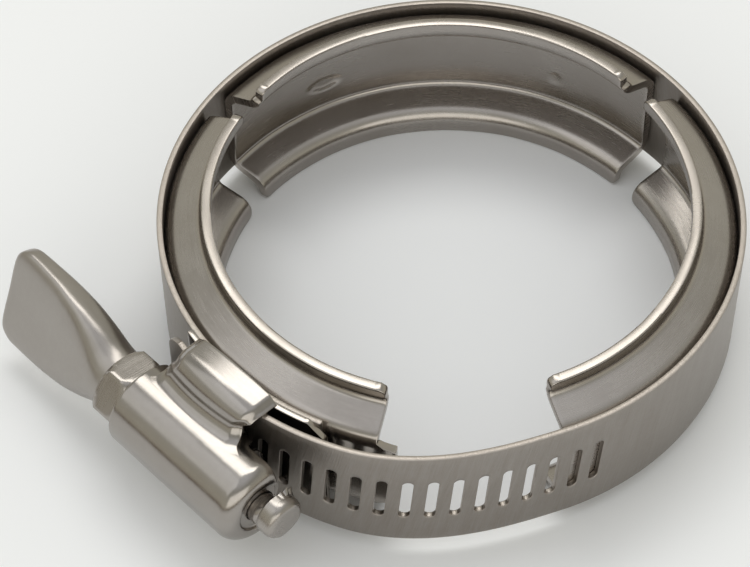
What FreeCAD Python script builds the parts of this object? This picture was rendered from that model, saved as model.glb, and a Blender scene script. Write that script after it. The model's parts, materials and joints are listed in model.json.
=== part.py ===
"""Worm-drive hose clamp with three V-section retainers and a thumb wing.

Millimetres. The origin is the centre of the ring, +Z is the ring's axis, and azimuths are degrees
counter-clockwise from +X. The screw sits at SCREW_AZ. The pieces round the screw are drawn in a
"station" frame first: +X radially outwards, +Y along the screw from its head to its tip, +Z up.
The band is cut at three flex lines, where the real band bends between its stiff retainers.
"""
import FreeCAD, Part
import math
import os

from FreeCAD import Vector

# --- driving dimensions ----------------------------------------------------------------------
BAND_WIDTH = 14.3            # 9/16 inch band
BAND_T = 0.65
RING_R = 32.0                # outside of the band over the retainers
LAP_R = 34.2                 # outside of the slotted end where it laps the fixed end
SLOT_STEP = 4.5              # degrees from slot to slot, one turn of the screw
SLOT_LENGTH = 6.2
SLOT_WIDTH = 1.3
SLOT_COUNT = 20
FIRST_SLOT_AZ = 214.0
SLOT_LEAN = 6.5              # degrees, the lead angle of the worm
SCREW_AZ = 226.0

FLEX_AZ = {"left_rear": 150.0, "rear_right": 39.5, "right_free": -71.75}
TAIL_AZ = 211.0              # where the slotted end stops, past the housing
LAP_END_AZ = 252.0           # the slotted end keeps its lap radius up to here
LAP_START_AZ = 293.0         # and has come down to the ring radius here
FIXED_END_AZ = 246.5         # just short of the saddle's end

RETAINER_T = 1.1
RETAINER_ARCS = {"left": (153.5, 257.0), "rear": (43.3, 146.3), "right": (-66.8, 35.8)}
WEB_HALF = 5.5              # half width of the web at its middle surface
LIP_R = 26.55               # middle surface of the lip
LIP_ROOT_Z = 6.9
LIP_TIP_Z = 9.0
WEB_BEND = 1.3
LIP_BEND = 1.5
LIP_CORNER = 1.3             # corner clipped off each lip's end
TONGUE_HALF = 4.6
TONGUE_END_AZ = 260.6

SADDLE_T = 0.7
SADDLE_ARC = (214.0, 248.0)
SADDLE_HALF = 7.5            # reaches the inside of the housing's skirts

SCREW_X = 38.0               # screw axis, from the ring's axis
THREAD_R = 4.2
CORE_R = 3.2
THREAD_TIP_HALF = 0.28
THREAD_ROOT_HALF = 0.48
THREAD_TURNS = 5.5
THREAD_LEAD_IN = 2           # turns of thread on the head side of the middle
COLLAR_R = 4.22
COLLAR_LENGTH = 0.6          # short, so that the tail of the band slides out under it
NECK_R = 1.7
PEEN_R = 2.35
PEEN_Y = (11.7, 14.0)
HEX_FLATS = 8.0              # across flats
HEX_Y = (-11.3, -7.7)
HEX_TURN = 8.0               # degrees, how the hexagon lies about the screw's axis
HEX_CAP = 0.7                # height of the cone turned on the outer rim
HEX_FOOT = 1.0               # and on the rim beside the housing
STUB_R = 2.1
STUB_Y = -17.5

BARREL_R = 4.95
BORE_R = 4.3
BARREL_Y = (-7.6, 11.0)
END_WALL = 0.9
HUMP_X = 33.6
HUMP_Z = 5.75
HUMP_R = 2.6
HUMP_WALL = 0.85
HUMP_Y = (-5.2, 6.6)
VALLEY_R = 1.0
SKIRT_X = 31.6              # how far in the skirts reach past the band's edges
STRIP_GAP = 0.3              # room for the sliding band inside the housing

WING_Y = (-29.8, -11.4)
WING_TILT = -22.0            # degrees about the screw's axis
WING_TIP_HALF = 6.15
WING_TIP_CORNER = 2.6
# distance along the wing as a share of its length, half width, half thickness
WING_SECTIONS = ((0.0, 3.6, 3.4), (0.16, 4.5, 3.0), (0.36, 5.5, 2.3), (0.6, 6.1, 1.7), (1.0, 6.3, 1.25))

FLEX_GAP = 0.03              # radial clearance of the half-round ends at a flex line
Z_AXIS = Vector(0, 0, 1)
Y_AXIS = Vector(0, 1, 0)
ORIGIN = Vector(0, 0, 0)


# --- helpers ---------------------------------------------------------------------------------
def polar(radius, azimuth, z=0.0):
    angle = math.radians(azimuth)
    return Vector(radius * math.cos(angle), radius * math.sin(angle), z)


def turned(shape, azimuth, centre=ORIGIN, axis=Z_AXIS):
    copy = shape.copy()
    copy.rotate(centre, axis, azimuth)
    return copy


def ring_sector(inner, outer, half_width, start, end):
    """A slice of a tube about Z from azimuth start to azimuth end."""
    base = Vector(0, 0, -half_width)
    solid = Part.makeCylinder(outer, 2 * half_width, base, Z_AXIS, end - start)
    core = Part.makeCylinder(inner, 2 * half_width, base, Z_AXIS, 360)
    return turned(solid.cut(core), start)


def station(shape):
    """Turns a shape from the station frame to its place on the ring."""
    return turned(shape, SCREW_AZ)


def box(x0, x1, y0, y1, z0, z1):
    return Part.makeBox(x1 - x0, y1 - y0, z1 - z0, Vector(x0, y0, z0))


def cylinder_y(radius, y0, y1, x, z=0.0):
    return Part.makeCylinder(radius, y1 - y0, Vector(x, y0, z), Y_AXIS)


def rounded_outline(corners, radii):
    """A closed wire through the corners, with an arc of the given radius at each one."""
    count = len(corners)
    starts = []
    ends = []
    middles = []
    for i in range(count):
        here = corners[i]
        back = (corners[i - 1] - here).normalize()
        ahead = (corners[(i + 1) % count] - here).normalize()
        half_angle = back.getAngle(ahead) / 2
        reach = radii[i] / math.tan(half_angle)
        centre_way = (back + ahead).normalize()
        centre = here + centre_way * (radii[i] / math.sin(half_angle))
        starts.append(here + back * reach)
        ends.append(here + ahead * reach)
        middles.append(centre - centre_way * radii[i])
    edges = []
    for i in range(count):
        if radii[i] > 0:
            edges.append(Part.Arc(starts[i], middles[i], ends[i]).toShape())
        edges.append(Part.makeLine(ends[i], starts[(i + 1) % count]))
    return Part.Wire(edges)


# --- band ------------------------------------------------------------------------------------
def lap_radius(azimuth):
    """Outside radius of the slotted end, which eases down from the lap to the ring."""
    share = (azimuth - LAP_END_AZ) / (LAP_START_AZ - LAP_END_AZ)
    share = min(max(share, 0.0), 1.0)
    return LAP_R + (RING_R - LAP_R) * share * share * (3 - 2 * share)


def eased_curve(offset, start, end):
    """A smooth curve at the lap radius less an offset, from azimuth start to end."""
    steps = 12
    azimuths = [start + (end - start) * i / steps for i in range(steps + 1)]
    points = [polar(lap_radius(azimuth) - offset, azimuth) for azimuth in azimuths]
    curve = Part.BSplineCurve()
    curve.interpolate(points)
    return curve.toShape()


def eased_strip(start, end):
    """A stretch of band that follows lap_radius between two azimuths."""
    outer = eased_curve(0.0, start, end)
    inner = eased_curve(BAND_T, start, end)
    ends = [Part.makeLine(polar(lap_radius(a) - BAND_T, a), polar(lap_radius(a), a)) for a in (start, end)]
    face = Part.Face(Part.Wire(Part.__sortEdges__([outer, ends[0], inner, ends[1]])))
    face.translate(Vector(0, 0, -BAND_WIDTH / 2))
    return face.extrude(Vector(0, 0, BAND_WIDTH))


def slot_cutter(azimuth):
    """A rounded slot through the band, leaning with the worm's lead angle."""
    straight = SLOT_LENGTH / 2 - SLOT_WIDTH / 2
    x0 = RING_R - 2
    depth = LAP_R - RING_R + 4
    tool = box(x0, x0 + depth, -SLOT_WIDTH / 2, SLOT_WIDTH / 2, -straight, straight)
    for z in (-straight, straight):
        tool = tool.fuse(Part.makeCylinder(SLOT_WIDTH / 2, depth, Vector(x0, 0, z), Vector(1, 0, 0)))
    tool.rotate(ORIGIN, Vector(1, 0, 0), -SLOT_LEAN)
    return turned(tool, azimuth)


def slot_azimuths():
    return [FIRST_SLOT_AZ + SLOT_STEP * i for i in range(SLOT_COUNT)]


def with_slots(strip, start, end):
    for azimuth in slot_azimuths():
        if start < azimuth < end:
            strip = strip.cut(slot_cutter(azimuth))
    return strip


def flex_centre(azimuth):
    """Middle of the band's thickness on a flex line."""
    return polar(lap_radius(azimuth % 360) - BAND_T / 2 if azimuth < 0 else RING_R - BAND_T / 2, azimuth)


def flex_barrel(azimuth, clearance):
    centre = flex_centre(azimuth) - Vector(0, 0, BAND_WIDTH / 2)
    return Part.makeCylinder(BAND_T / 2 + clearance, BAND_WIDTH, centre, Z_AXIS)


def rounded_end(strip, azimuth):
    return strip.fuse(flex_barrel(azimuth, 0.0)).removeSplitter()


def hollow_end(strip, azimuth):
    return strip.cut(flex_barrel(azimuth, FLEX_GAP))


def band_left():
    """The fixed end: from the left flex line to its cut end under the saddle."""
    start = FLEX_AZ["left_rear"]
    strip = ring_sector(RING_R - BAND_T, RING_R, BAND_WIDTH / 2, start, FIXED_END_AZ)
    return rounded_end(strip, start)


def band_rear():
    start, end = FLEX_AZ["rear_right"], FLEX_AZ["left_rear"]
    strip = ring_sector(RING_R - BAND_T, RING_R, BAND_WIDTH / 2, start, end)
    return rounded_end(hollow_end(strip, end), start)


def band_right():
    """The band over the right retainer, with the last slots and the start of the ease to the lap."""
    seam, end = FLEX_AZ["right_free"] + 360, FLEX_AZ["rear_right"] + 360
    strip = ring_sector(RING_R - BAND_T, RING_R, BAND_WIDTH / 2, LAP_START_AZ, end)
    strip = strip.fuse(eased_strip(seam, LAP_START_AZ)).removeSplitter()
    strip = with_slots(strip, seam, end)
    return rounded_end(hollow_end(strip, end), seam - 360)


def band_free_end():
    """The slotted end, from its tail past the housing to the flex line in the front gap."""
    seam = FLEX_AZ["right_free"] + 360
    strip = ring_sector(LAP_R - BAND_T, LAP_R, BAND_WIDTH / 2, TAIL_AZ, LAP_END_AZ)
    strip = strip.fuse(eased_strip(LAP_END_AZ, seam)).removeSplitter()
    strip = hollow_end(with_slots(strip, TAIL_AZ, seam), seam - 360)
    return strip.common(tail_outline())


def tail_outline():
    """Keeps the slotted end, with its two tail corners rounded."""
    corner = 3.0
    reach = 80.0
    half = BAND_WIDTH / 2
    tail_y = -LAP_R * math.sin(math.radians(SCREW_AZ - TAIL_AZ))
    outline = ((tail_y, -half), (reach, -half), (reach, half), (tail_y, half))
    corners = [Vector(0, y, z) for y, z in outline]
    face = Part.Face(rounded_outline(corners, [corner, 0.0, 0.0, corner]))
    return station(face.extrude(Vector(60, 0, 0)))


# --- retainers -------------------------------------------------------------------------------
def retainer_section():
    """The V section: a web against the band, two sloping flanks and two upright lips."""
    web_r = RING_R - BAND_T - RETAINER_T / 2
    middle = [(LIP_R, -LIP_TIP_Z), (LIP_R, -LIP_ROOT_Z), (web_r, -WEB_HALF),
              (web_r, WEB_HALF), (LIP_R, LIP_ROOT_Z), (LIP_R, LIP_TIP_Z)]
    bends = [LIP_BEND, WEB_BEND, WEB_BEND, LIP_BEND]
    points = [Vector(r, 0, z) for r, z in middle]
    sides = []
    for side in (1, -1):
        half = RETAINER_T / 2 * side
        row = [points[0] + Vector(half, 0, 0)]
        for i in range(1, 5):
            row.append(mitred(points[i - 1], points[i], points[i + 1], half))
        row.append(points[5] + Vector(half, 0, 0))
        sides.append(row)
    # the flank and lip bends curve opposite ways, so the wall adds to one radius and takes from the other
    outer_radii = [0.0] + [b + RETAINER_T / 2 * s for b, s in zip(bends, (-1, 1, 1, -1))] + [0.0]
    inner_radii = [0.0] + [b - RETAINER_T / 2 * s for b, s in zip(bends, (-1, 1, 1, -1))] + [0.0]
    corners = sides[0] + sides[1][::-1]
    return Part.Face(rounded_outline(corners, outer_radii + inner_radii[::-1]))


def mitred(before, here, after, distance):
    """The corner of a line offset sideways by a distance, to the right of its way up."""
    ways = [(here - before).normalize(), (after - here).normalize()]
    normals = [Vector(way.z, 0, -way.x) for way in ways]
    bisector = (normals[0] + normals[1]).normalize()
    return here + bisector * (distance / bisector.dot(normals[0]))


def lip_clips(start, end):
    """Wedges that clip the corners of both lips at both ends of a retainer."""
    tools = []
    for azimuth in (start, end):
        for z in (-LIP_TIP_Z, LIP_TIP_Z):
            tool = box(LIP_R - 3, LIP_R + 3, -LIP_CORNER, LIP_CORNER, -LIP_CORNER, LIP_CORNER)
            tool.rotate(ORIGIN, Vector(1, 0, 0), 45)
            tool.translate(Vector(0, 0, z))
            tools.append(turned(tool, azimuth))
    return tools


def retainer(side):
    """The V section swept over one arc; the left one's web runs on past its lips as a tongue."""
    start, end = RETAINER_ARCS[side]
    solid = turned(retainer_section().revolve(ORIGIN, Z_AXIS, end - start), start)
    for tool in lip_clips(start, end):
        solid = solid.cut(tool)
    if side == "left":
        web_r = RING_R - BAND_T
        solid = solid.fuse(ring_sector(web_r - RETAINER_T, web_r, TONGUE_HALF, end - 1, TONGUE_END_AZ))
    return solid.removeSplitter()


# --- housing and saddle ----------------------------------------------------------------------
def housing_saddle():
    """The bridge plate between the two laps of band, with clipped corners past the housing."""
    start, end = SADDLE_ARC
    plate = ring_sector(RING_R, RING_R + SADDLE_T, SADDLE_HALF, start, end)
    clip = 1.6
    for z in (-SADDLE_HALF, SADDLE_HALF):
        tool = box(RING_R - 1, RING_R + 2, -clip, clip, -clip, clip)
        tool.rotate(ORIGIN, Vector(1, 0, 0), 45)
        tool.translate(Vector(0, 0, z))
        plate = plate.cut(turned(tool, end))
    return plate


def valley(z_sign):
    """Fills the crease between barrel and hump with a concave fillet."""
    barrel = Vector(SCREW_X, 0, 0)
    hump = Vector(HUMP_X, 0, HUMP_Z)
    span = (hump - barrel).Length
    to_barrel = BARREL_R + VALLEY_R
    to_hump = HUMP_R + VALLEY_R
    along = (to_barrel ** 2 - to_hump ** 2 + span ** 2) / (2 * span)
    across = math.sqrt(to_barrel ** 2 - along ** 2)
    way = (hump - barrel).normalize()
    side = Vector(way.z, 0, -way.x)
    centre = barrel + way * along + side * across
    on_barrel = centre + (barrel - centre).normalize() * VALLEY_R
    on_hump = centre + (hump - centre).normalize() * VALLEY_R
    middle = centre + ((on_barrel + on_hump) / 2 - centre).normalize() * VALLEY_R
    edges = [Part.makeLine(barrel, on_barrel), Part.Arc(on_barrel, middle, on_hump).toShape(),
             Part.makeLine(on_hump, hump), Part.makeLine(hump, barrel)]
    solid = Part.Face(Part.Wire(edges)).extrude(Vector(0, HUMP_Y[1] - HUMP_Y[0], 0))
    solid.translate(Vector(0, HUMP_Y[0], 0))
    if z_sign < 0:
        solid = solid.mirror(ORIGIN, Z_AXIS)
    return solid


def worm_housing():
    """Pressed shell: a barrel round the worm and two humps whose skirts wrap the band's edges."""
    y0, y1 = HUMP_Y
    shell = cylinder_y(BARREL_R, BARREL_Y[0], BARREL_Y[1], SCREW_X)
    top = HUMP_Z + HUMP_R
    shell = shell.makeFillet(1.6, [e for e in shell.Edges if e.CenterOfMass.y > BARREL_Y[1] - 0.01])
    shell = shell.fuse(box(SKIRT_X, HUMP_X, y0, y1, -top, top))
    shell = shell.fuse(box(SKIRT_X, SCREW_X - 2, y0, y1, -HUMP_Z, HUMP_Z))
    for sign in (1, -1):
        shell = shell.fuse(cylinder_y(HUMP_R, y0, y1, HUMP_X, sign * HUMP_Z))
        shell = shell.fuse(valley(sign))
    for tool in housing_hollows():
        shell = shell.cut(tool)
    return station(shell.removeSplitter())


def housing_hollows():
    y0, y1 = HUMP_Y[0] - 1, HUMP_Y[1] + 1
    inner_r = HUMP_R - HUMP_WALL
    inner_top = HUMP_Z + inner_r
    long0, long1 = BARREL_Y[0] - 1, BARREL_Y[1] + 1
    tools = [cylinder_y(BORE_R, long0, BARREL_Y[1] - END_WALL, SCREW_X),
             cylinder_y(NECK_R + 0.05, long0, long1, SCREW_X),
             cylinder_y(PEEN_R + 0.5, BARREL_Y[1] - 0.35, long1, SCREW_X),
             box(SKIRT_X - 1, HUMP_X, y0, y1, -inner_top, inner_top),
             box(SKIRT_X - 1, HUMP_X + inner_r, y0, y1, -HUMP_Z, HUMP_Z)]
    tools += [cylinder_y(inner_r, y0, y1, HUMP_X, sign * HUMP_Z) for sign in (1, -1)]
    channel_half = BAND_WIDTH / 2 + STRIP_GAP
    tools.append(Part.makeCylinder(LAP_R + STRIP_GAP, 2 * channel_half, Vector(0, 0, -channel_half)))
    return tools


# --- screw and wing --------------------------------------------------------------------------
def worm_thread():
    """The helical ridge, centred on the slots where it faces the band."""
    pitch = math.radians(SLOT_STEP) * (LAP_R - BAND_T / 2)
    height = THREAD_TURNS * pitch
    helix = Part.makeHelix(pitch, height, CORE_R)
    root = CORE_R - 0.15
    corners = [Vector(root, 0, -THREAD_ROOT_HALF), Vector(THREAD_R, 0, -THREAD_TIP_HALF),
               Vector(THREAD_R, 0, THREAD_TIP_HALF), Vector(root, 0, THREAD_ROOT_HALF)]
    section = Part.makePolygon(corners + corners[:1])
    ridge = Part.Wire(helix).makePipeShell([section], True, True)
    slots_off = (FIRST_SLOT_AZ - SCREW_AZ) / SLOT_STEP
    phase = (slots_off - math.floor(slots_off)) * pitch
    # the ridge starts on the far side of the core, half a turn before it first faces the band
    start = phase - (THREAD_LEAD_IN + 0.5) * pitch
    ridge.rotate(ORIGIN, Vector(1, 0, 0), -90)
    ridge.translate(Vector(SCREW_X, start, 0))
    return ridge


def worm_screw():
    """Hex head, bearing collar, worm, journal and peened tip in one turned piece."""
    collar_end = BARREL_Y[0] + COLLAR_LENGTH
    journal_start = BARREL_Y[1] - END_WALL - 0.15
    body = cylinder_y(CORE_R, HEX_Y[1] - 0.1, journal_start, SCREW_X)
    body = body.fuse(worm_thread())
    body = body.fuse(cylinder_y(COLLAR_R, HEX_Y[1], collar_end, SCREW_X))
    body = body.fuse(cylinder_y(NECK_R, journal_start - 0.2, PEEN_Y[0] + 0.1, SCREW_X))
    peen = cylinder_y(PEEN_R, PEEN_Y[0], PEEN_Y[1], SCREW_X)
    body = body.fuse(peen.makeChamfer(0.35, [e for e in peen.Edges if e.CenterOfMass.y > PEEN_Y[1] - 0.01]))
    body = body.fuse(hex_head())
    body = body.fuse(cylinder_y(STUB_R, STUB_Y, HEX_Y[0] + 0.1, SCREW_X))
    return station(body.removeSplitter())


def hex_head():
    """A hexagon with both rims turned to a cone."""
    across_corners = HEX_FLATS / math.cos(math.radians(30))
    corners = [math.radians(60 * i + HEX_TURN) for i in range(7)]
    foot_centre = Vector(0, HEX_Y[0], 0)
    points = [Vector(math.cos(a), 0, math.sin(a)) * (across_corners / 2) + foot_centre for a in corners]
    height = HEX_Y[1] - HEX_Y[0]
    prism = Part.Face(Part.makePolygon(points)).extrude(Vector(0, height, 0))
    rim = HEX_FLATS / 2 + 0.15
    widest = across_corners / 2 + 0.1
    cap = Part.makeCone(rim, widest, HEX_CAP, Vector(0, HEX_Y[0], 0), Y_AXIS)
    full = height - HEX_CAP - HEX_FOOT
    middle = Part.makeCylinder(widest, full, Vector(0, HEX_Y[0] + HEX_CAP, 0), Y_AXIS)
    foot = Part.makeCone(widest, rim, HEX_FOOT, Vector(0, HEX_Y[1] - HEX_FOOT, 0), Y_AXIS)
    head = prism.common(cap.fuse([middle, foot]))
    head.translate(Vector(SCREW_X, 0, 0))
    return head


def wing_section(share, half_width, half_thickness):
    """An ellipse across the wing, its width along Z."""
    y = WING_Y[1] + (WING_Y[0] - WING_Y[1]) * share
    ellipse = Part.Ellipse(Vector(0, y, half_width), Vector(half_thickness, y, 0), Vector(0, y, 0))
    return Part.Wire(ellipse.toShape())


def wing_plan():
    """The wing's outline seen square to its flat face, with rounded outer corners."""
    half = WING_TIP_HALF
    corners = [Vector(-9, WING_Y[0], -half), Vector(-9, WING_Y[0], half),
               Vector(-9, WING_Y[1] + 1, half), Vector(-9, WING_Y[1] + 1, -half)]
    wire = rounded_outline(corners, [WING_TIP_CORNER, WING_TIP_CORNER, 0.0, 0.0])
    return Part.Face(wire).extrude(Vector(18, 0, 0))


def thumb_wing():
    """A tube pressed flat into a thumb grip, round where it sleeves the head's stub."""
    blade = Part.makeLoft([wing_section(*row) for row in WING_SECTIONS], True)
    blade = blade.common(wing_plan())
    blade = blade.cut(Part.makeCylinder(STUB_R, WING_Y[1] - STUB_Y + 1, Vector(0, STUB_Y, 0), Y_AXIS))
    blade.rotate(ORIGIN, Y_AXIS, WING_TILT)
    blade.translate(Vector(SCREW_X, 0, 0))
    return station(blade)


# --- export ----------------------------------------------------------------------------------
def main():
    os.makedirs("parts", exist_ok=True)
    shapes = {
        "band_left": band_left(),
        "band_rear": band_rear(),
        "band_right": band_right(),
        "band_free_end": band_free_end(),
        "retainer_left": retainer("left"),
        "retainer_rear": retainer("rear"),
        "retainer_right": retainer("right"),
        "housing_saddle": housing_saddle(),
        "worm_housing": worm_housing(),
        "worm_screw": worm_screw(),
        "thumb_wing": thumb_wing(),
    }
    for name, shape in shapes.items():
        solids = shape.Solids
        print(name, "solids", len(solids), "valid", shape.isValid(), "volume", round(shape.Volume, 1))
        shape.exportStep("parts/" + name + ".step")


main()
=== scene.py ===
"""Looks of a worm-drive hose clamp with three V-section retainers and a thumb wing.

Lengths are millimetres until a mesh is made. A point is given either on the ring, by azimuth, radius
and height, or at the screw, by its distance out from the ring's axis, along the screw and upwards.
"""
import json
import math

import bmesh
import bpy
import numpy as np
from mathutils import Matrix, Vector


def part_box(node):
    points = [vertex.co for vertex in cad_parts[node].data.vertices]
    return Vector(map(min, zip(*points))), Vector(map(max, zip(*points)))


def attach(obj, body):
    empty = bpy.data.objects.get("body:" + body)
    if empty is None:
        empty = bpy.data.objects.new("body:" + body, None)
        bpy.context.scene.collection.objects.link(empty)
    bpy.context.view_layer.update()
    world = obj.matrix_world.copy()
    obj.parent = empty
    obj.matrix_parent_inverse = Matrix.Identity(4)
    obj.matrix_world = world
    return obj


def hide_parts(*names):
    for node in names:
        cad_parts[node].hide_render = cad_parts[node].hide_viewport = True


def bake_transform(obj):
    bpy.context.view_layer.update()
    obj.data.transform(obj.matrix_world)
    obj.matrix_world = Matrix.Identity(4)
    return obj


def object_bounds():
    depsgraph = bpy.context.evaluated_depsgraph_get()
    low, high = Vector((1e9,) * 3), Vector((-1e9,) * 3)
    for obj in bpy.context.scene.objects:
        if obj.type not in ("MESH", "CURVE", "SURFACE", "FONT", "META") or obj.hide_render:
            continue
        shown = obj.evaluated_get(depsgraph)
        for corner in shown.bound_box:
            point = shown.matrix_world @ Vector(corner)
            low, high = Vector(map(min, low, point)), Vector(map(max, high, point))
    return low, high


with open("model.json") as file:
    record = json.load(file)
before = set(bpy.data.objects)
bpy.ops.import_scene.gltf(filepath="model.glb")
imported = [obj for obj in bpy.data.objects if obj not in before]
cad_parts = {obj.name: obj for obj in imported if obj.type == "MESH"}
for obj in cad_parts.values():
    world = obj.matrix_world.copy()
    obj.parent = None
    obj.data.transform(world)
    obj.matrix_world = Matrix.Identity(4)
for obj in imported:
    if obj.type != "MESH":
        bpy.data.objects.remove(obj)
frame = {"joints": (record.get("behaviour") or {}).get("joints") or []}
cad_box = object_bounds()

MM = 0.001
joints = {j["name"]: j for j in frame["joints"]}


def azimuth_of(joint):
    """Azimuth in degrees of a joint's axis seen from the ring's axis."""
    x, y = joints[joint]["pos_m"][:2]
    return math.degrees(math.atan2(y, x)) % 360


def radius_of(joint):
    return math.hypot(*joints[joint]["pos_m"][:2]) / MM


# --- sizes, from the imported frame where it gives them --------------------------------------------
BAND_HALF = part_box("band_rear")[1].z / MM
BAND_T = 0.65
RING_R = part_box("band_rear")[1].y / MM
LAP_R = 34.2                 # outside of the slotted end over the fixed end
LAP_EASE = (252.0, 293.0)    # azimuths between which it comes down to the ring
BAND_EDGE = 0.12             # how far the rounded edge of the strip bulges

REAR_SEAM = 95.0             # band pieces meet here, behind the rear retainer
RIGHT_SEAM = 380.0           # and here, behind the right retainer

SLOT_STEP = 4.5
SLOT_COUNT = 20
FIRST_SLOT = 214.0
TAIL = 211.0
TAIL_CORNER = 3.0
SLOT_HALF_LENGTH = 3.1
SLOT_HALF_WIDTH = 0.55
SLOT_EDGE = 0.06              # the punch rolls the slot's edge over by this much
SLOT_LEAN = math.tan(math.radians(4.5))

FIXED_END = 246.5

RETAINER_T = 1.1
WEB_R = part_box("retainer_rear")[1].y / MM
LIP_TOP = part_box("retainer_rear")[1].z / MM
LIP_R = 26.55
LIP_ROOT = 6.9
WEB_HALF = 5.5
TONGUE_HALF = 4.6
WEB_BEND = 1.3
LIP_BEND = 1.5
RETAINER_ENDS = {"left": (153.5, 257.0), "rear": (43.3, 146.3), "right": (293.2, 395.8)}

SADDLE_T = 0.7
SADDLE_ENDS = (214.0, 248.0)
SADDLE_HALF = 7.5

SCREW_AZ = azimuth_of("screw_turn")
SCREW_X = radius_of("screw_turn")
BARREL_R = 4.95
BARREL_T = 0.65
BARREL_Y = (-7.6, 11.0)
SHEET_EDGE = 0.12            # bulge of the housing sheets' cut edges
HUMP_X = 33.6
HUMP_Z = 5.75
HUMP_R = 2.6
HUMP_Y = (-5.2, 6.6)
VALLEY_R = 2.0
SKIRT_X = 31.6

PITCH = math.radians(SLOT_STEP) * (LAP_R - BAND_T / 2)
THREAD_R = 4.2
CORE_R = 3.2
THREAD_Y = (-5.76, 8.87)
HEX_FLATS = 8.0
HEX_TURN = 8.0
HEX_Y = (-11.3, -7.7)
COLLAR_R = 4.22
NECK_R = 1.7
PEEN_BURR = math.radians(138.0)   # which way the peened tip is off centre, about the screw's axis
PEEN_SHIFT = 0.6

WING_Y = (-29.8, -11.3)
WING_TILT = -22.0


# --- shapes as arrays ------------------------------------------------------------------------------
def stacked(*parts):
    return np.stack(np.broadcast_arrays(*parts), axis=-1).astype(float)


def on_ring(azimuth, radius, height):
    """Points at an azimuth, a radius and a height: (r cos a, r sin a, h)."""
    a = np.radians(azimuth)
    return stacked(radius * np.cos(a), radius * np.sin(a), height)


def at_screw(out, along, up):
    """Points given out from the ring's axis, along the screw and up, turned to the screw's azimuth."""
    c = math.cos(math.radians(SCREW_AZ))
    s = math.sin(math.radians(SCREW_AZ))
    return stacked(out * c - along * s, out * s + along * c, up)


def eased(t):
    """Smooth step: 3t^2 - 2t^3, with t held between 0 and 1."""
    t = np.clip(t, 0.0, 1.0)
    return t * t * (3 - 2 * t)


def unit(v):
    return v / np.maximum(np.linalg.norm(v, axis=-1, keepdims=True), 1e-12)


def rounded_line(corners, radii, step):
    """A line through 2-D corners with an arc at each inner one, then points along it a step apart."""
    corners = np.array(corners, float)
    runs = [corners[:1]]
    for before, here, after, radius in zip(corners, corners[1:], corners[2:], radii):
        back = unit(before - here)
        ahead = unit(after - here)
        half = math.acos(np.clip(back @ ahead, -1, 1)) / 2
        centre = here + unit(back + ahead) * radius / math.sin(half)
        first = here + back * radius / math.tan(half) - centre
        last = here + ahead * radius / math.tan(half) - centre
        turn = math.atan2(first[0] * last[1] - first[1] * last[0], first @ last)
        angle = np.linspace(0, turn, 14)[:, None]
        side = np.array([-first[1], first[0]])
        runs.append(centre + first * np.cos(angle) + side * np.sin(angle))
    runs.append(corners[-1:])
    line = np.concatenate(runs)
    length = np.concatenate([[0], np.cumsum(np.linalg.norm(np.diff(line, axis=0), axis=1))])
    at = np.linspace(0, length[-1], max(2, round(length[-1] / step) + 1))
    return stacked(np.interp(at, length, line[:, 0]), np.interp(at, length, line[:, 1])), at


def surface_normals(grid):
    """Unit normals of a grid of points: the cross product of its two directions."""
    return unit(np.cross(np.gradient(grid, axis=0), np.gradient(grid, axis=1)))


def border(rows, cols):
    """Row and column numbers once round the border of a grid, the first one repeated at the end."""
    r = np.concatenate([np.zeros(cols - 1), np.arange(rows - 1), np.full(cols - 1, rows - 1),
                        np.arange(rows - 1, -1, -1)])
    c = np.concatenate([np.arange(cols - 1), np.full(rows - 1, cols - 1), np.arange(cols - 1, 0, -1),
                        np.zeros(rows)])
    return r.astype(int), c.astype(int)


def edge_arc(steps=7, squareness=3.5):
    """A flat-nosed half round from one face of a sheet to the other: (across, out) on a superellipse."""
    angle = np.linspace(0, math.pi, steps)
    power = 2 / squareness
    return np.sign(np.cos(angle)) * np.abs(np.cos(angle)) ** power, np.abs(np.sin(angle)) ** power


def plate(outer, thickness, edge, uv):
    """Grids of a closed sheet: the outer face, the inner face a thickness below it along the normal, and
    a nosed rim that runs once round the border. Gives (points, uv, rim) for each grid."""
    normal = surface_normals(outer)
    rows, cols = outer.shape[:2]
    inner = outer - normal * thickness
    r, c = border(rows, cols)
    down = unit(np.gradient(outer, axis=0))
    across = unit(np.gradient(outer, axis=1))
    way = np.zeros_like(outer)
    way[0] -= down[0]
    way[-1] += down[-1]
    way[:, 0] -= across[:, 0]
    way[:, -1] += across[:, -1]
    way = unit(way)[r, c][:, None]
    middle = (outer - normal * thickness / 2)[r, c][:, None]
    lift, out = edge_arc()
    rim = middle + normal[r, c][:, None] * (thickness / 2) * lift[:, None] + way * edge * out[:, None]
    rim_uv = uv[r, c][:, None] + np.zeros((1, len(out), 1))
    flag = np.broadcast_to(np.minimum(1, out * 1.5), rim.shape[:2])
    nothing = np.zeros((rows, cols))
    return [(outer, uv, nothing), (inner, uv, nothing), (rim, rim_uv, flag)]


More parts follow.
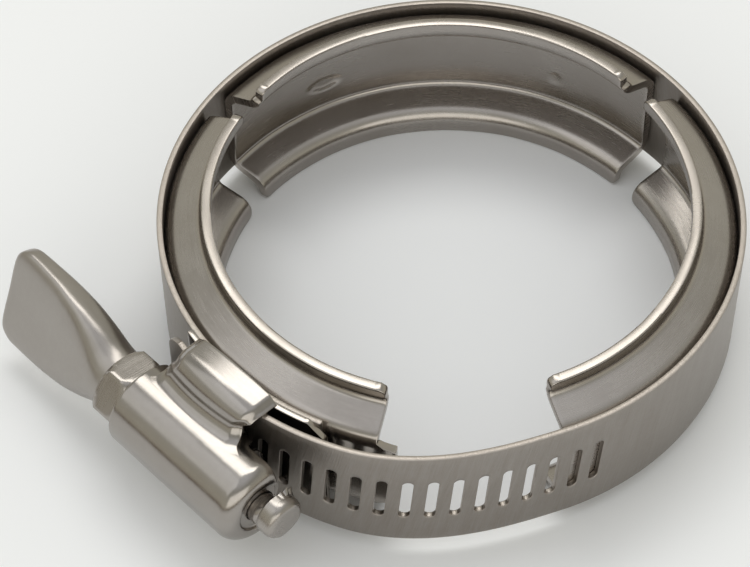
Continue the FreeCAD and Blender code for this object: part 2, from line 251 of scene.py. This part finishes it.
def piece(name, grids, material, sharp=50.0):
    """One mesh of several grids of quads. Doubles are merged, which closes seams and poles, and faces
    are turned outwards. The UV map holds millimetres along and across the surface."""
    verts, faces, uvs, rims, count = [], [], [], [], 0
    for points, uv, rim in grids:
        rows, cols = points.shape[:2]
        index = np.arange(rows * cols).reshape(rows, cols) + count
        quads = stacked(index[:-1, :-1], index[1:, :-1], index[1:, 1:], index[:-1, 1:])
        verts.append(points.reshape(-1, 3))
        faces.append(quads.reshape(-1, 4).astype(int))
        uvs.append(np.broadcast_to(uv, (rows, cols, 2)).reshape(-1, 2))
        rims.append(np.broadcast_to(rim, (rows, cols)).ravel())
        count += rows * cols
    faces = np.concatenate(faces)
    mesh = bpy.data.meshes.new(name)
    mesh.from_pydata((np.concatenate(verts) * MM).tolist(), [], faces.tolist())
    layer = mesh.uv_layers.new(name="surface")
    layer.data.foreach_set("uv", np.concatenate(uvs)[faces.ravel()].astype(np.float32).ravel())
    flags = mesh.attributes.new("rim", "FLOAT", "POINT")
    flags.data.foreach_set("value", np.concatenate(rims).astype(np.float32))
    bm = bmesh.new()
    bm.from_mesh(mesh)
    bmesh.ops.remove_doubles(bm, verts=bm.verts, dist=2e-6)
    bmesh.ops.recalc_face_normals(bm, faces=bm.faces)
    bm.to_mesh(mesh)
    bm.free()
    mesh.polygons.foreach_set("use_smooth", np.ones(len(mesh.polygons), bool))
    mesh.set_sharp_from_angle(angle=math.radians(sharp))
    mesh.materials.append(material)
    made = bpy.data.objects.new(name, mesh)
    bpy.context.scene.collection.objects.link(made)
    return made


def ripple(u, v, size):
    """Slow waviness left by the press: three crossed sine waves of a given height."""
    return size * (np.sin(u * 0.31 + v * 0.12) + 0.6 * np.sin(u * 0.73 - v * 0.4 + 1.7)
                   + 0.4 * np.sin(u * 0.17 + v * 0.85 + 4.0)) / 2


# --- band ------------------------------------------------------------------------------------------
def lap_radius(azimuth):
    """Outside radius of the slotted end: the lap's, easing down to the ring's."""
    share = (azimuth - LAP_EASE[0]) / (LAP_EASE[1] - LAP_EASE[0])
    return LAP_R + (RING_R - LAP_R) * eased(share)


BAND_HEIGHTS = np.linspace(BAND_HALF - BAND_EDGE, BAND_EDGE - BAND_HALF, 23)


def strap(azimuth, height, depth=0.0):
    """Points on the slotted end, a depth below its outer face."""
    return on_ring(azimuth, lap_radius(azimuth) - depth, height)


def strap_face(azimuth, height):
    """The two faces of the strip over one set of azimuths and heights."""
    uv = stacked(np.radians(azimuth) * RING_R, height)
    nothing = np.zeros(height.shape)
    return [(strap(azimuth, height), uv, nothing), (strap(azimuth, height, BAND_T), uv, nothing)]


def strap_rim(azimuth, height, along, up, edge=BAND_EDGE):
    """A nosed rim from the outer face to the inner along a line, bulging along and up in millimetres."""
    lift, out = edge_arc()
    depth = BAND_T / 2 * (1 - lift)[None, :]
    turned = azimuth[:, None] + np.degrees(along[:, None] * edge * out / RING_R)
    raised = height[:, None] + up[:, None] * edge * out
    uv = stacked(np.radians(turned) * RING_R, raised)
    return strap(turned, raised, depth), uv, np.broadcast_to(np.minimum(1, out * 1.5), raised.shape)


def slot_outline(count):
    """Once round a leaning slot, clockwise from its top left: end arc, side, end arc, side."""
    turn = np.linspace(0, math.pi, count)
    reach = SLOT_HALF_LENGTH - SLOT_HALF_WIDTH
    side = np.linspace(reach, -reach, count)
    half = SLOT_HALF_WIDTH + SLOT_EDGE
    x = np.concatenate([-half * np.cos(turn)[:-1], np.full(count - 1, half), half * np.cos(turn)[:-1],
                        np.full(count, -half)])
    z = np.concatenate([reach + half * np.sin(turn)[:-1], side[:-1], -reach - half * np.sin(turn)[:-1],
                        -side])
    out = np.concatenate([-np.cos(turn)[:-1], np.ones(count - 1), np.cos(turn)[:-1], -np.ones(count)])
    up = np.concatenate([np.sin(turn)[:-1], np.zeros(count - 1), -np.sin(turn)[:-1], np.zeros(count)])
    return x + z * SLOT_LEAN, z, out, up


def slot_cell(number):
    """The strip round one slot: rings of points that pass from the cell's leaning border to the slot's
    outline, the slot's wall, and the cell's top and bottom rims. The first cell ends in the tail."""
    centre = FIRST_SLOT + SLOT_STEP * number
    heights = BAND_HEIGHTS
    count = len(heights)
    half = math.radians(SLOT_STEP) * RING_R / 2
    left = -half + heights * SLOT_LEAN
    right = half + heights * SLOT_LEAN
    if number == 0:
        past = np.clip(np.abs(heights) - (BAND_HALF - TAIL_CORNER), 0, TAIL_CORNER)
        left = math.radians(TAIL - centre) * RING_R + TAIL_CORNER - np.sqrt(TAIL_CORNER ** 2 - past ** 2)
    top = heights[0]
    x0 = np.concatenate([np.linspace(left[0], right[0], count)[:-1], right[:-1],
                         np.linspace(right[-1], left[-1], count)[:-1], left[::-1]])
    z0 = np.concatenate([np.full(count - 1, top), heights[:-1], np.full(count - 1, -top), heights[::-1]])
    x1, z1, out, up = slot_outline(count)
    share = np.array([0, 0.25, 0.5, 0.72, 0.88, 1.0])[:, None]
    x = x0 + (x1 - x0) * share
    z = z0 + (z1 - z0) * share
    grids = strap_face(centre + np.degrees(x / RING_R), z)
    grids.append(strap_rim(centre + np.degrees(x1 / RING_R), z1, -out, -up, SLOT_EDGE))
    for heading, begin in ((1, 0), (-1, 2 * (count - 1))):
        edge = x0[begin:begin + count]
        grids.append(strap_rim(centre + np.degrees(edge / RING_R), z0[begin:begin + count],
                               np.zeros(count), np.full(count, heading)))
    if number == 0:
        slope = np.gradient(left, heights)
        leaning = 1 / np.sqrt(1 + slope ** 2)
        grids.append(strap_rim(centre + np.degrees(left / RING_R), heights, -leaning, slope * leaning))
    return grids


def slotted_band(material):
    """The free end with its punched slots, one cell after another, then the plain strip to the seam."""
    grids = []
    for number in range(SLOT_COUNT):
        grids += slot_cell(number)
    last = FIRST_SLOT + SLOT_STEP * (SLOT_COUNT - 0.5)
    heights = BAND_HEIGHTS[None, :]
    start = last + np.degrees(heights * SLOT_LEAN / RING_R)
    share = np.linspace(0, 1, 130)[:, None]
    azimuth = start + (RIGHT_SEAM - start) * share
    height = heights + 0 * share
    grids += strap_face(azimuth, height)
    for column, heading in ((0, 1), (-1, -1)):
        none = np.zeros(len(share))
        grids.append(strap_rim(azimuth[:, column], height[:, column], none, none + heading))
    made = piece("slotted_band", grids, material)
    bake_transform(made)
    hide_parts("band_right", "band_free_end")


def plain_band(azimuth):
    """Grids of the plain strip over a run of azimuths."""
    outer = on_ring(azimuth[:, None], RING_R, BAND_HEIGHTS[None, :])
    uv = stacked(np.radians(azimuth)[:, None] * RING_R, BAND_HEIGHTS[None, :])
    return plate(outer, BAND_T, BAND_EDGE, uv)


def rear_band(material):
    made = piece("rear_band", plain_band(np.linspace(REAR_SEAM, RIGHT_SEAM - 360, 150)), material)
    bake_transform(made)
    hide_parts("band_rear")


def fixed_band(material):
    """The fixed end, from its cut end under the saddle to the seam behind the rear retainer."""
    made = piece("fixed_band", plain_band(np.linspace(FIXED_END, REAR_SEAM, 260)), material)
    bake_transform(made)
    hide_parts("band_left")


# --- retainers -------------------------------------------------------------------------------------
def pressed_mark(along, up, centre, size, depth):
    """A shallow oval dent: a flat floor with soft sides at a centre (along, up) with half axes size."""
    reach = np.hypot((along - centre[0]) / size[0], (up - centre[1]) / size[1])
    return -depth * eased((1.25 - reach) / 0.5)


def retainer(side, body, notches, tongue, marks, material):
    """The V section swept round the ring. The upper lip is notched back by a given depth at each end
    and all lip corners are rounded: the end azimuth is a function of height. A tongue is how far the
    web runs on past the lips at the second end. Marks are dents in the web."""
    start, end = RETAINER_ENDS[side]
    edge = 0.16
    half = RETAINER_T / 2
    inner_web = WEB_R - RETAINER_T
    lip = LIP_R - half
    corners = [(lip, edge - LIP_TOP), (lip, -LIP_ROOT), (inner_web, -WEB_HALF),
               (inner_web, WEB_HALF), (lip, LIP_ROOT), (lip, LIP_TOP - edge)]
    # the inner face is drawn, so its flank corners are moved by the sheet's mitre
    lean = math.atan2(inner_web - lip, LIP_ROOT - WEB_HALF)
    shift = half * math.tan(lean / 2)
    for i, sign in ((1, 1), (2, 1), (3, -1), (4, -1)):
        corners[i] = (corners[i][0], corners[i][1] + sign * shift)
    bends = [LIP_BEND + half, WEB_BEND - half, WEB_BEND - half, LIP_BEND + half]
    section, across = rounded_line(corners, bends, 0.24)
    radius, height = section[:, 0][None], section[:, 1][None]
    rows = 170
    share = np.linspace(0, 1, rows)[:, None]
    high = np.abs(height)
    corner = 1 - np.sqrt(1 - np.clip((high - (LIP_TOP - edge - 0.6)) / 0.6, 0, 1) ** 2)
    cut = [eased((height - 7.0) / 0.6) * depth + corner * 0.6 for depth in notches]
    first = start + np.degrees(cut[0] / radius)
    run_on = tongue * eased((TONGUE_HALF + 0.2 - high) / 0.3)
    last = end + np.degrees((run_on - cut[1]) / radius)
    azimuth = first + (last - first) * share
    along = np.radians(azimuth) * WEB_R
    wave = ripple(along, height * 1.3 + radius, 0.028)
    for mark_az, mark_z, size, depth in marks:
        on_web = eased((radius - (inner_web - 0.8)) / 0.5)
        wave = wave - on_web * pressed_mark(azimuth, height, (mark_az, mark_z), size, depth)
    face = on_ring(azimuth, radius + wave, height + 0 * share)
    uv = stacked(along, across[None] + 0 * share)
    made = piece(side + "_retainer", plate(face[:, ::-1], RETAINER_T, edge, uv[:, ::-1]), material)
    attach(made, body)
    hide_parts("retainer_" + side)


# --- housing ---------------------------------------------------------------------------------------
def housing_barrel(material):
    """Half-open barrel: a profile of straight wall, rounded shoulder, end face and sunk ring round the
    neck, swept about the screw's axis and left open where it would cross the band."""
    end = BARREL_Y[1]
    sunk = end - 0.4
    corners = [(BARREL_R, BARREL_Y[0] + SHEET_EDGE), (BARREL_R, end), (3.0, end),
               (2.75, sunk), (1.92, sunk)]
    profile, length = rounded_line(corners, [1.75, 0.22, 0.15], 0.2)
    rho = profile[:, 0][:, None]
    open_at = SCREW_X - 34.55 - 1.3 * eased((profile[:, 1][:, None] - 5.9) / 0.9)
    sweep = np.where(rho > open_at, np.degrees(np.arccos(-np.minimum(1, open_at / rho))), 180.0)
    sweep = np.radians(np.minimum(sweep, 177.0))
    angle = sweep * np.linspace(-1, 1, 120)[None]
    rho = rho + ripple(length[:, None], angle * 6, 0.02)
    outer = at_screw(SCREW_X + rho * np.cos(angle), profile[:, 1][:, None], rho * np.sin(angle))
    uv = stacked(length[:, None], angle * BARREL_R)
    made = piece("housing_barrel", plate(outer, BARREL_T, SHEET_EDGE, uv), material)
    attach(made, "root")
    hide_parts("worm_housing")


def hump_section(hump_r):
    """Half of the housing's pressed section: from on the barrel down the valley, over a hump of the
    given radius and down the skirt. Three arcs that touch, then a straight wall, as (out, up) points."""
    barrel = np.array([SCREW_X, 0.0])
    hump = np.array([HUMP_X, HUMP_Z])
    span = np.linalg.norm(hump - barrel)
    to_barrel = BARREL_R + VALLEY_R
    to_hump = hump_r + VALLEY_R
    along = (to_barrel ** 2 - to_hump ** 2 + span ** 2) / (2 * span)
    way = (hump - barrel) / span
    valley = barrel + way * along + np.array([way[1], -way[0]]) * math.sqrt(to_barrel ** 2 - along ** 2)
    leave = math.atan2(*(valley - barrel)[::-1])
    enter = math.atan2(*(valley - hump)[::-1])
    in_valley = (leave + math.pi, enter + math.pi - (2 * math.pi if enter > leave else 0))

    def arc(centre, radius, begin, stop, count):
        angle = np.linspace(begin, stop, count)
        return centre + radius * stacked(np.cos(angle), np.sin(angle))

    skirt = np.linspace([HUMP_X, HUMP_Z + hump_r], [SKIRT_X + 0.1, HUMP_Z + hump_r], 10)
    # the flare sinks a little into the barrel towards its edge
    flare_r = BARREL_R - 0.03 * np.linspace(1, 0, 14)[:, None]
    return np.concatenate([arc(barrel, flare_r, leave - 0.5, leave, 14),
                           arc(valley, VALLEY_R, *in_valley, 22)[1:],
                           arc(hump, hump_r, enter, math.pi / 2, 30)[1:],
                           skirt[1:]])


def housing_skirt(side, material):
    """The hump, its valley and its skirt on one side of the barrel. The hump is fullest in its middle
    and rounds off at both ends. The cut edges flare on to the barrel and are cornered on the hump."""
    share = np.linspace(0, 1, 80)
    middle = 2 * share - 1
    hump_r = HUMP_R + 0.25 - 0.5 * middle ** 2 - 0.45 * eased((np.abs(middle) - 0.82) / 0.18)
    line = np.stack([hump_section(r) for r in hump_r], axis=1)
    steps = np.linalg.norm(np.diff(line[:, 40], axis=0), axis=1)
    length = np.concatenate([[0], np.cumsum(steps)])
    on_barrel, on_hump, on_top, end = length[[13, 34, 63, -1]]
    knots = [0, on_barrel, on_barrel + 0.5, on_hump, on_hump + 1.2, on_top, end]
    lows = np.interp(length, knots, [-7.3, -7.1, -6.4, -5.6, -5.1, -5.2, -5.2])
    highs = np.interp(length, knots, [9.0, 7.6, 6.1, 5.4, 6.3, 6.6, 6.6])
    smooth = np.ones(5) / 5
    lows = np.convolve(np.pad(lows, 2, "edge"), smooth, "valid")[:, None]
    highs = np.convolve(np.pad(highs, 2, "edge"), smooth, "valid")[:, None]
    y = lows + (highs - lows) * share
    out = line[..., 0] + ripple(y, length[:, None] * 2, 0.02)
    outer = at_screw(out, y, line[..., 1] * side)
    uv = stacked(y, length[:, None] + 0 * y)
    if side > 0:
        outer = outer[::-1]
        uv = uv[::-1]
    name = "housing_hump_top" if side > 0 else "housing_hump_bottom"
    made = piece(name, plate(outer, SADDLE_T, SHEET_EDGE, uv), material)
    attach(made, "root")
    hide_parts("worm_housing")


def saddle_plate(material):
    """The bridge between the two laps of band: an arc of plate with two clipped corners."""
    heights = np.linspace(SADDLE_HALF - SHEET_EDGE, SHEET_EDGE - SADDLE_HALF, 40)[None]
    clip = np.degrees(np.clip(np.abs(heights) - (SADDLE_HALF - 2.0), 0, 2.0) / RING_R)
    share = np.linspace(0, 1, 60)[:, None]
    azimuth = SADDLE_ENDS[1] - clip + (SADDLE_ENDS[0] - SADDLE_ENDS[1] + clip) * share
    outer = on_ring(azimuth, RING_R + SADDLE_T, heights + 0 * share)
    uv = stacked(np.radians(azimuth) * RING_R, heights + 0 * share)
    made = piece("saddle_plate", plate(outer, SADDLE_T, SHEET_EDGE, uv), material)
    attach(made, "root")
    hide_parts("housing_saddle")


# --- screw and wing --------------------------------------------------------------------------------
def worm_radius(y, angle):
    """The thread: a trapezium ridge on the core whose middle moves one pitch for each turn."""
    phase = (y - THREAD_Y[0]) / PITCH + angle / (2 * math.pi)
    off = np.abs(phase - np.round(phase)) * PITCH
    ridge = np.clip((0.5 - off) / 0.2, 0, 1)
    fade = eased((y - THREAD_Y[0]) / 0.8) * eased((THREAD_Y[1] - y) / 0.8)
    return CORE_R + (THREAD_R - CORE_R) * ridge * fade


def hexagon(angle):
    """Radius of a hexagon with soft corners: half the flats over a high norm of the six cosines."""
    turns = angle[..., None] - np.radians(HEX_TURN + 30 + 60 * np.arange(6))
    return HEX_FLATS / 2 / (np.maximum(np.cos(turns), 0) ** 60).sum(-1) ** (1 / 60)


def worm_and_head(material):
    """Everything turned on the screw, from the stub in the wing to the peened tip: a radius for each
    place along and angle round the axis."""
    angle = np.linspace(0, 2 * math.pi, 145)[None]
    low, high = HEX_Y
    widest = HEX_FLATS / 2 / math.cos(math.radians(30)) + 0.1
    rim = HEX_FLATS / 2 + 0.15
    head = [(low, 0.0), (low, 2.4), (low, rim - 0.35), (low + 0.06, rim - 0.1), (low + 0.17, rim + 0.03),
            (low + 0.7, widest), (high - 1.0, widest), (high - 0.12, rim + 0.02),
            (high - 0.03, rim - 0.1), (high, rim - 0.25), (high, COLLAR_R), (high + 0.6, COLLAR_R), (high + 0.66, 4.1),
            (high + 0.66, CORE_R)]
    worm = [(y, CORE_R) for y in np.linspace(THREAD_Y[0] - 0.1, THREAD_Y[1] + 0.1, 190)]
    tip = [(9.95, CORE_R), (9.95, NECK_R), (11.95, NECK_R), (12.05, 1.8), (12.15, 2.2), (12.3, 2.35),
           (12.8, 2.38), (13.5, 2.36), (13.9, 2.26), (14.13, 2.05), (14.24, 1.8), (14.28, 1.2),
           (14.3, 0.0)]
    rows = np.array(head + worm + tip)
    fine = [rows[:1]]
    for a, b in zip(rows, rows[1:]):
        parts = max(1, int(np.abs(b - a).max() / 0.3))
        fine.append(a + (b - a) * (np.arange(1, parts + 1) / parts)[:, None])
    rows = np.concatenate(fine)
    y, base = rows[:, 0][:, None], rows[:, 1][:, None]
    in_hex = (y > low - 0.01) & (y < high + 0.01) & (base > 3.9) & (base != COLLAR_R)
    facets = hexagon(angle)
    # the lesser of rim cone and hexagon, with a small round where they cross
    blend = 70.0
    soft = (np.maximum(base, 0.01) ** -blend + facets ** -blend) ** (-1 / blend)
    radius = np.where(in_hex, soft, base + 0 * angle)
    in_worm = (y > THREAD_Y[0] - 0.11) & (y < THREAD_Y[1] + 0.11)
    radius = np.where(in_worm, worm_radius(y, angle), radius)
    peened = eased((y - 11.7) / 0.3) * (radius > 0.5)
    radius = radius * (1 + peened * (0.025 * np.cos(2 * angle + 0.6) + 0.02 * np.cos(5 * angle)))
    burr = np.exp(-((angle - PEEN_BURR) / 0.42) ** 2) * np.exp(-((y - 12.3) / 0.28) ** 2)
    radius = radius + 0.5 * burr * (1 + 0.5 * np.sin(angle * 23)) * (radius > 1.5)
    shift = PEEN_SHIFT * eased((y - 11.5) / 0.6)
    out = SCREW_X + radius * np.cos(angle) + shift * math.cos(PEEN_BURR)
    up = radius * np.sin(angle) + shift * math.sin(PEEN_BURR)
    points = at_screw(out, y + 0 * angle, up)
    uv = stacked(y + base * 0.5 + 0 * angle, angle * 4.0)
    made = piece("worm_and_head", [(points, uv, np.zeros(points.shape[:2]))], material, sharp=32.0)
    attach(made, "screw")
    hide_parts("worm_screw")


def wing_grip(material):
    """A tube pressed flat: each section is a superellipse that goes from round at the neck to a flat
    blade with rounded edges, and the blade's end is nosed with two rounded corners."""
    length = WING_Y[1] - WING_Y[0]
    corner = 2.6
    from_tip = np.concatenate([0.9 * (1 - np.cos(np.linspace(0, math.pi / 2, 10))),
                               np.linspace(0.9, length, 90)[1:]])[:, None]
    share = 1 - from_tip / length
    stations = [0.0, 0.08, 0.2, 0.38, 0.6, 0.8, 1.0]
    width = np.interp(share, stations, [3.55, 3.75, 4.6, 5.45, 6.0, 6.2, 6.2])
    thick = np.interp(share, stations, [3.3, 3.2, 2.75, 2.2, 1.75, 1.45, 1.25])
    kernel = np.ones(9) / 9
    width = np.convolve(np.pad(width[:, 0], 4, "edge"), kernel, "valid")[:, None]
    thick = np.convolve(np.pad(thick[:, 0], 4, "edge"), kernel, "valid")[:, None]
    width = width - corner + np.sqrt(corner ** 2 - np.clip(corner - from_tip, 0, corner) ** 2)
    thick = thick * np.sqrt(1 - np.clip(1 - from_tip / 0.9, 0, 1) ** 2)
    squareness = 2 + 2.6 * eased((share - 0.05) / 0.5)
    angle = np.linspace(0, 2 * math.pi, 121)[None]
    power = 2 / squareness
    out = thick * np.sign(np.cos(angle)) * np.abs(np.cos(angle)) ** power
    up = width * np.sign(np.sin(angle)) * np.abs(np.sin(angle)) ** power
    out = out * (1 + 0.012 * np.sin(from_tip * 0.6 + 1) * np.sin(angle * 2))
    # a shallow hollow down the middle of both flat faces
    out = out - np.sign(out) * 0.12 * np.exp(-(up / 3.2) ** 2) * eased((share - 0.35) / 0.3)
    y = WING_Y[0] + from_tip
    out = np.concatenate([out, 0 * out[:1]])
    up = np.concatenate([up, 0 * up[:1]])
    y = np.concatenate([y, y[-1:]]) + 0 * angle
    c, s = math.cos(math.radians(WING_TILT)), math.sin(math.radians(WING_TILT))
    points = at_screw(SCREW_X + out * c + up * s, y, up * c - out * s)
    uv = stacked(y, angle * 5.0)
    made = piece("wing_grip", [(points, uv, np.zeros(points.shape[:2]))], material, sharp=60.0)
    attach(made, "screw")
    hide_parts("thumb_wing")


# --- steels ----------------------------------------------------------------------------------------
class Nodes:
    """Short ways to add and link the nodes of one material."""

    def __init__(self, name):
        self.material = bpy.data.materials.new(name)
        self.material.use_nodes = True
        self.tree = self.material.node_tree
        self.shader = self.tree.nodes["Principled BSDF"]

    def add(self, kind, **settings):
        node = self.tree.nodes.new(kind)
        for key, value in settings.items():
            if key in node.inputs:
                node.inputs[key].default_value = value
            else:
                setattr(node, key, value)
        return node

    def link(self, source, target):
        self.tree.links.new(source, target)

    def noise(self, vector, scale, detail=2.0, roughness=0.5):
        node = self.add("ShaderNodeTexNoise", Scale=scale, Detail=detail, Roughness=roughness)
        self.link(vector, node.inputs["Vector"])
        return node.outputs["Fac"]

    def spread(self, value, low, high):
        """Maps a noise's middle range to low..high."""
        node = self.add("ShaderNodeMapRange")
        node.inputs["From Min"].default_value = 0.3
        node.inputs["From Max"].default_value = 0.7
        node.inputs["To Min"].default_value = low
        node.inputs["To Max"].default_value = high
        self.link(value, node.inputs["Value"])
        return node.outputs["Result"]

    def maths(self, operation, a, b):
        node = self.add("ShaderNodeMath", operation=operation)
        for socket, value in zip(node.inputs, (a, b)):
            if isinstance(value, (int, float)):
                socket.default_value = value
            else:
                self.link(value, socket)
        return node.outputs[0]

    def stretched(self, socket, scale, lean):
        """A vector turned by a lean in radians, then scaled: how a drawn pattern is stretched."""
        size = tuple(1 / x for x in scale)
        node = self.add("ShaderNodeMapping", vector_type="TEXTURE", Scale=size, Rotation=(0, 0, lean))
        self.link(socket, node.inputs["Vector"])
        return node.outputs["Vector"]

    def mixed(self, share, a, b):
        """A colour between two colours, each a constant or a socket, by a share from a socket."""
        node = self.add("ShaderNodeMix", data_type="RGBA")
        self.link(share, node.inputs["Factor"])
        for name, value in (("A", a), ("B", b)):
            socket = [i for i in node.inputs if i.name == name and i.type == "RGBA"][0]
            if isinstance(value, tuple):
                socket.default_value = value
            else:
                self.link(value, socket)
        return [o for o in node.outputs if o.type == "RGBA"][0]


def tone(value, warm=0.0):
    """A steel grey: warm takes a little blue away and adds a little red."""
    return (value * (1 + warm), value * (1 - 0.5 * warm), value * (1 - 1.9 * warm), 1.0)


def steel(name, grey, warm, roughness, lines, line_depth, contrast, painted_rim_highlight, lean=0.0):
    """Satin stainless: fine drawn lines stretched along the surface, slow clouds of tone, specks, and
    rims painted lighter than the body as a painted highlight. lines scales the pattern along and across the surface,
    per millimetre."""
    n = Nodes(name)
    surface = n.add("ShaderNodeUVMap", uv_map="surface").outputs["UV"]
    place = n.add("ShaderNodeTexCoord").outputs["Object"]
    drawn = n.noise(n.stretched(surface, lines, lean), 1.0, 3.0, 0.65)
    wide = n.noise(n.stretched(surface, tuple(x * 0.22 for x in lines), lean), 1.0, 2.0, 0.6)
    cloud = n.noise(place, 75.0, 3.0, 0.55)
    specks = n.noise(place, 1500.0, 2.0, 0.6)
    tint = n.maths("ADD", n.spread(drawn, -contrast, contrast), n.spread(cloud, -0.12, 0.12))
    tint = n.maths("ADD", tint, n.spread(wide, -contrast * 0.6, contrast * 0.6))
    tint = n.maths("ADD", tint, n.spread(specks, -0.03, 0.03))
    share = n.maths("ADD", tint, 0.5)
    body = n.mixed(share, tone(grey * 0.72, warm * 1.4), tone(grey * 1.28, warm * 0.6))
    # painted highlight: the rounded rims are painted lighter than the body, standing in for the light they catch
    rim = n.add("ShaderNodeAttribute", attribute_name="rim").outputs["Fac"]
    n.link(n.mixed(rim, body, tone(min(1.0, grey * painted_rim_highlight), warm)), n.shader.inputs["Base Color"])
    rough = n.spread(cloud, roughness - 0.05, roughness + 0.05)
    rough = n.maths("ADD", rough, n.spread(drawn, -0.03, 0.04))
    n.link(rough, n.shader.inputs["Roughness"])
    n.shader.inputs["Metallic"].default_value = 1.0
    relief = n.maths("ADD", n.maths("MULTIPLY", drawn, 1.0), n.maths("MULTIPLY", specks, 0.5))
    bump = n.add("ShaderNodeBump", Strength=line_depth, Distance=0.0001)
    n.link(relief, bump.inputs["Height"])
    n.link(bump.outputs["Normal"], n.shader.inputs["Normal"])
    return n.material


# --- studio ----------------------------------------------------------------------------------------
def soft_light(name, watts, size, azimuth, elevation, distance, colour):
    """A square softbox that faces the ring's centre."""
    light = bpy.data.lights.new(name, "AREA")
    light.shape = "RECTANGLE"
    light.size, light.size_y = size
    light.energy = watts
    light.color = colour
    made = bpy.data.objects.new(name, light)
    a, e = math.radians(azimuth), math.radians(elevation)
    towards = Vector((math.cos(a) * math.cos(e), math.sin(a) * math.cos(e), math.sin(e)))
    made.location = towards * distance
    made.rotation_euler = made.location.to_track_quat("Z", "Y").to_euler()
    bpy.context.scene.collection.objects.link(made)


def studio_floor():
    """A wide pale disc at the height of the lower lips."""
    mesh = bpy.data.meshes.new("floor")
    turn = np.linspace(0, 2 * math.pi, 97)[:-1]
    level = cad_box[0].z
    mesh.from_pydata(stacked(3 * np.cos(turn), 3 * np.sin(turn), level).tolist(), [], [list(range(96))])
    n = Nodes("pale_floor")
    n.shader.inputs["Roughness"].default_value = 0.75
    place = n.add("ShaderNodeTexCoord").outputs["Object"]
    pale = n.mixed(n.noise(place, 14.0), (0.88, 0.89, 0.91, 1), (0.91, 0.92, 0.94, 1))
    n.link(pale, n.shader.inputs["Base Color"])
    mesh.materials.append(n.material)
    floor = bpy.data.objects.new("floor", mesh)
    bpy.context.scene.collection.objects.link(floor)


def room_light():
    """A dim room: a brown band at the horizon, olive grey walls and a lighter ceiling."""
    world = bpy.data.worlds.new("room")
    bpy.context.scene.world = world
    world.use_nodes = True
    tree = world.node_tree
    place = tree.nodes.new("ShaderNodeTexCoord")
    split = tree.nodes.new("ShaderNodeSeparateXYZ")
    ramp = tree.nodes.new("ShaderNodeValToRGB")
    tree.links.new(place.outputs["Generated"], split.inputs[0])
    tree.links.new(split.outputs["Z"], ramp.inputs[0])
    tree.links.new(ramp.outputs[0], tree.nodes["Background"].inputs["Color"])
    # elevation as the sine of its angle, and the room's colour there
    stops = ((0.0, (0.1, 0.06, 0.03)), (0.05, (0.17, 0.11, 0.06)), (0.13, (0.7, 0.67, 0.56)),
             (0.45, (0.66, 0.65, 0.57)), (0.75, (0.5, 0.5, 0.46)), (1.0, (0.9, 0.92, 0.95)))
    elements = ramp.color_ramp.elements
    for sine, _ in stops[1:-1]:
        elements.new(sine)
    for element, (sine, colour) in zip(elements, stops):
        element.position = sine
        element.color = (*colour, 1)
    tree.nodes["Background"].inputs["Strength"].default_value = 0.96


CAMERA_AT = Vector((0.91, -176.92, 213.76)) * MM
CAMERA_YAW, CAMERA_PITCH, CAMERA_ROLL = -3.01, -51.17, -0.92
CAMERA_LENS = 120.0


def set_camera():
    """Looks along a yaw from +Y and a pitch from the horizon, rolled about that line."""
    yaw, pitch, roll = (math.radians(x) for x in (CAMERA_YAW, CAMERA_PITCH, CAMERA_ROLL))
    ahead = Vector((math.sin(yaw) * math.cos(pitch), math.cos(yaw) * math.cos(pitch), math.sin(pitch)))
    right = Vector((math.cos(yaw), -math.sin(yaw), 0))
    up = right.cross(ahead)
    c, s = math.cos(roll), math.sin(roll)
    right, up = right * c + up * s, up * c - right * s
    camera = bpy.data.cameras.new("camera")
    camera.lens = CAMERA_LENS
    camera.sensor_width = 36.0
    camera.clip_start = 0.01
    made = bpy.data.objects.new("camera", camera)
    made.matrix_world = Matrix.Translation(CAMERA_AT) @ Matrix((right, up, -ahead)).transposed().to_4x4()
    bpy.context.scene.collection.objects.link(made)
    bpy.context.scene.camera = made


# --- the clamp -------------------------------------------------------------------------------------
def build():
    # the eighth number of each steel is how much lighter its rims are painted: a painted highlight
    band = steel("band_steel", 0.28, 0.07, 0.38, (7.0, 0.3, 1.0), 0.4, 0.14, 1.25, -0.2)
    formed = steel("retainer_steel", 0.37, 0.06, 0.25, (0.25, 4.0, 1.0), 0.015, 0.03, 1.0)
    pressed = steel("housing_steel", 0.32, 0.055, 0.2, (0.3, 3.0, 1.0), 0.01, 0.015, 1.1)
    turned = steel("screw_steel", 0.34, 0.055, 0.28, (9.0, 0.2, 1.0), 0.05, 0.03, 1.2)
    flattened = steel("wing_steel", 0.34, 0.055, 0.34, (0.5, 3.0, 1.0), 0.03, 0.03, 1.2)
    slotted_band(band)
    rear_band(band)
    fixed_band(band)
    # weld marks as azimuth, height, half axes in degrees and millimetres, and depth
    left_marks = ((240.0, 0.0, (3.0, 1.2), 0.05),)
    rear_marks = ((120.5, -1.4, (3.6, 0.85), 0.28), (67.0, -1.5, (1.2, 0.8), 0.1))
    retainer("left", "root", (0.3, 0.15), 1.95, left_marks, formed)
    retainer("rear", "rear", (0.45, 0.45), 0.0, rear_marks, formed)
    retainer("right", "right", (0.15, 0.3), 0.0, (), formed)
    housing_barrel(pressed)
    housing_skirt(1, pressed)
    housing_skirt(-1, pressed)
    saddle_plate(pressed)
    worm_and_head(turned)
    wing_grip(flattened)


build()
studio_floor()
room_light()
soft_light("back_softbox", 1.8, (0.6, 0.3), 95.0, 62.0, 0.8, (1.0, 0.99, 0.95))
soft_light("left_softbox", 0.5, (0.5, 0.5), 190.0, 50.0, 0.8, (0.95, 0.97, 1.0))
soft_light("front_softbox", 1.9, (1.2, 0.5), 275.0, 26.0, 0.9, (1.0, 0.99, 0.97))
set_camera()
bpy.context.scene.view_settings.view_transform = "Standard"
